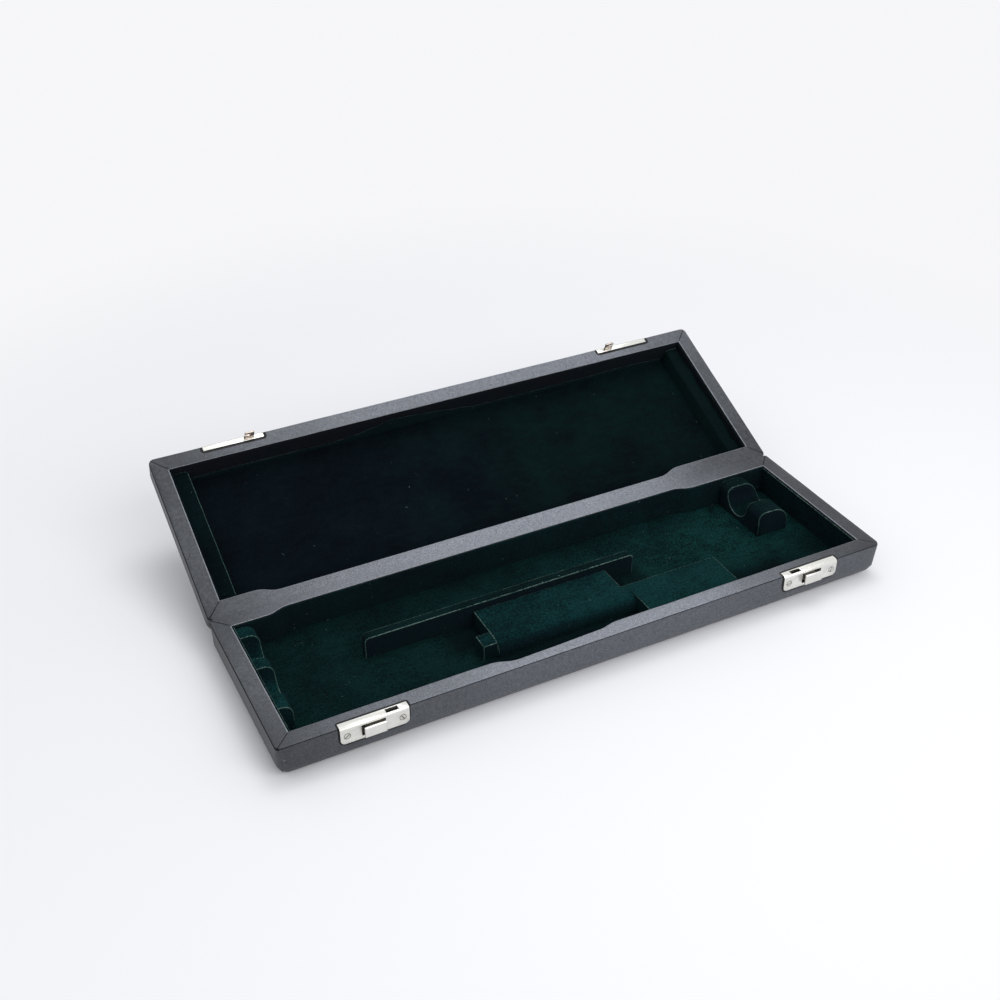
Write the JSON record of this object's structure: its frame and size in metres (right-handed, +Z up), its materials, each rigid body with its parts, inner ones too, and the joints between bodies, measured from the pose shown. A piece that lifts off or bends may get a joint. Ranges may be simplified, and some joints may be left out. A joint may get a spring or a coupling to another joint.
{
  "type": "flute case",
  "caption": "Slim leather-covered case with a hinged lid, sliding button latches and a velvet-lined interior shaped to hold the joints of a flute.",
  "frame": {"origin": "centre of the base's flat underside, on the surface that it stands on", "axes": "+X along the case towards its right end, -Y towards the latches, +Y towards the hinge, +Z up; the lid stands open at rest"},
  "size_m": [0.4, 0.2383, 0.0782],
  "materials": {
    "case_leather": "satin",
    "rim_leather": "satin",
    "velvet": "matte",
    "velvet_on_wood": "matte",
    "wood": "matte",
    "nickel": "polished",
    "steel": "satin"
  },
  "bodies": {
    "base": {"base_board": "wood", "base_front_rail": "wood", "base_rear_rail": "wood", "base_left_rail": "wood", "base_right_rail": "wood", "base_bottom_leather": "case_leather", "base_front_leather": "case_leather", "base_rear_leather": "case_leather", "base_left_leather": "case_leather", "base_right_leather": "case_leather", "base_front_rim": "rim_leather", "base_hinge_leather": "rim_leather", "base_left_rim": "rim_leather", "base_right_rim": "rim_leather", "base_floor_lining": "velvet", "base_wall_lining": "velvet", "left_cradle": "velvet_on_wood", "right_cradle": "velvet_on_wood", "divider": "velvet_on_wood", "key_block": "velvet_on_wood", "key_block_nub": "velvet_on_wood", "left_latch_plate": "nickel", "right_latch_plate": "nickel", "left_latch_case": "steel", "right_latch_case": "steel", "left_latch_spring": "steel", "right_latch_spring": "steel", "latch_screws": "nickel"},
    "lid": {"lid_board": "wood", "lid_front_rail": "wood", "lid_rear_rail": "wood", "lid_left_rail": "wood", "lid_right_rail": "wood", "lid_top_leather": "case_leather", "lid_front_leather": "case_leather", "lid_rear_leather": "case_leather", "lid_left_leather": "case_leather", "lid_right_leather": "case_leather", "lid_front_rim": "rim_leather", "lid_hinge_leather": "rim_leather", "lid_left_rim": "rim_leather", "lid_right_rim": "rim_leather", "lid_panel_lining": "velvet", "lid_wall_lining": "velvet", "lid_left_pad": "velvet", "lid_right_pad": "velvet", "left_striker_plate": "nickel", "right_striker_plate": "nickel", "left_striker_tongue": "nickel", "right_striker_tongue": "nickel", "striker_screws": "nickel"},
    "left_latch": {"left_latch_button": "nickel", "left_latch_bolt": "steel"},
    "right_latch": {"right_latch_button": "nickel", "right_latch_bolt": "steel"}
  },
  "joints": [
    {"name": "lid_hinge", "type": "hinge", "parent": "base", "child": "lid", "pos_m": [0, 0.06, 0.024], "axis": [1, 0, 0], "range_deg": [0, 155.5]},
    {"name": "left_latch_slide", "type": "slide", "parent": "base", "child": "left_latch", "axis": [-1, 0, 0], "range_m": [0, 0.0017], "stiffness_N_per_m": 300, "springref_m": -0.002, "deforming": ["left_latch_spring"]},
    {"name": "right_latch_slide", "type": "slide", "parent": "base", "child": "right_latch", "axis": [1, 0, 0], "range_m": [0, 0.0017], "stiffness_N_per_m": 300, "springref_m": -0.002, "deforming": ["right_latch_spring"]}
  ]
}
